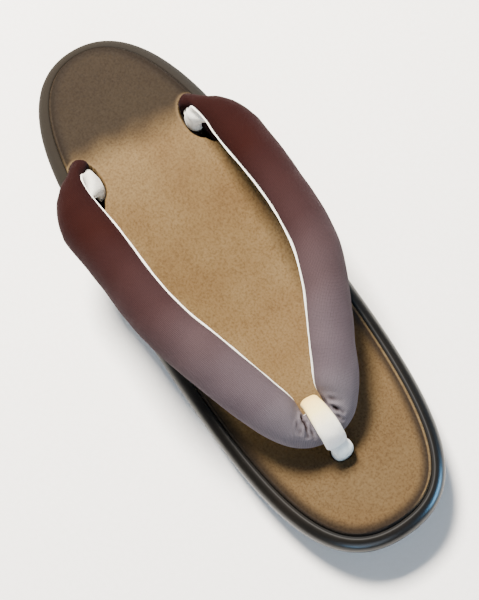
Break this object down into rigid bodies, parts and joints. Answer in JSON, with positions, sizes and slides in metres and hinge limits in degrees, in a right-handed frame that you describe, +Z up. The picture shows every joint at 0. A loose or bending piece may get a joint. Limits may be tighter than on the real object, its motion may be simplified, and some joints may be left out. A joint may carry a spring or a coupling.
{
  "type": "zori sandal",
  "caption": "Low wedge zori sandal with a bronze padded footbed, dark glossy side, padded burgundy to mauve V strap and a white toe loop",
  "frame": {"origin": "on the floor, under the middle of the sandal's length and width", "axes": "+X from the heel to the toe, +Y to the wearer's left, +Z up"},
  "size_m": [0.24, 0.0898, 0.0502],
  "materials": {
    "sole rubber": "matte",
    "dark wrapped side": "glossy",
    "bronze footbed leather": "satin",
    "shaded strap cloth": "matte",
    "white backing felt": "matte",
    "white post cloth": "matte"
  },
  "bodies": {
    "root": {"outsole": "sole rubber", "base": "dark wrapped side", "footbed": "bronze footbed leather", "strap": "shaded strap cloth", "strap_backing": "white backing felt", "front_loop": "white post cloth", "front_post": "white post cloth"}
  },
  "joints": []
}
